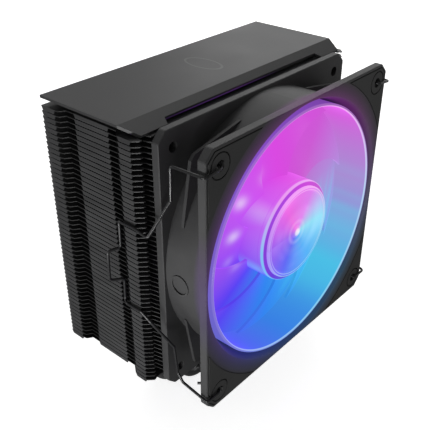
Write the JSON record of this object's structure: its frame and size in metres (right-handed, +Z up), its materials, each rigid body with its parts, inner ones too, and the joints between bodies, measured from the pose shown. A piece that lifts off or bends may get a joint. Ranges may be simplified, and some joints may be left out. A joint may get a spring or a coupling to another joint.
{
  "type": "cpu tower cooler",
  "caption": "Tower heatsink for a processor: finned stack on U-shaped heat pipes, painted top cover, and an axial fan with a lit impeller held on by wire clips.",
  "frame": {"origin": "centre of the base's contact face", "axes": "+Z up along the tower, away from the processor; the fan faces -Y; +X is to the right of a person who looks at the fan"},
  "size_m": [0.1418, 0.0803, 0.154],
  "materials": {
    "base_metal": "machined satin",
    "screw_steel": "plain",
    "pipe_metal": "dark coated",
    "fin_metal": "dark satin coating",
    "cover_paint": "fine satin paint",
    "frame_plastic": "fine matte",
    "pad_rubber": "matte",
    "brass": "turned",
    "bronze": "sintered",
    "wear_plastic": "plain",
    "core_steel": "plain",
    "coil_copper": "enamelled wire",
    "board_resin": "solder mask",
    "led_lens": "clear lens",
    "chip_black": "plain",
    "label_film": "plain film",
    "lit_plastic": "translucent, lit from inside",
    "magnet_black": "plain",
    "wire_steel": "dark coated"
  },
  "bodies": {
    "tower": {"base_block": "base_metal", "base_cap": "base_metal", "base_screws": "screw_steel", "heat_pipe_1": "pipe_metal", "heat_pipe_2": "pipe_metal", "heat_pipe_3": "pipe_metal", "heat_pipe_4": "pipe_metal", "fin_stack": "fin_metal", "top_cover": "cover_paint", "fan_frame": "frame_plastic", "front_pad_1": "pad_rubber", "front_pad_2": "pad_rubber", "front_pad_3": "pad_rubber", "front_pad_4": "pad_rubber", "rear_pad_1": "pad_rubber", "rear_pad_2": "pad_rubber", "rear_pad_3": "pad_rubber", "rear_pad_4": "pad_rubber", "bearing_tube": "brass", "bearing_sleeve": "bronze", "thrust_pad": "wear_plastic", "stator_core": "core_steel", "stator_coils": "coil_copper", "fan_board": "board_resin", "board_leds": "led_lens", "board_chips": "chip_black", "rear_disc": "label_film"},
    "rotor": {"impeller": "lit_plastic", "hub_cap": "lit_plastic", "rotor_yoke": "core_steel", "rotor_magnet": "magnet_black", "shaft": "screw_steel", "retaining_clip": "wear_plastic"},
    "clip_left": {"wire_clip_left": "wire_steel"},
    "clip_right": {"wire_clip_right": "wire_steel"}
  },
  "joints": [
    {"name": "rotor_spin", "type": "hinge", "parent": "tower", "child": "rotor", "pos_m": [0, -0.0527, 0.092], "axis": [0, 1, 0], "continuous": true},
    {"name": "clip_left_swing", "type": "hinge", "parent": "tower", "child": "clip_left", "pos_m": [-0.0525, -0.0508, 0.092], "axis": [0, 0, 1], "range_deg": [0, 30]},
    {"name": "clip_right_swing", "type": "hinge", "parent": "tower", "child": "clip_right", "pos_m": [0.0525, -0.0508, 0.092], "axis": [0, 0, -1], "range_deg": [0, 30]}
  ]
}
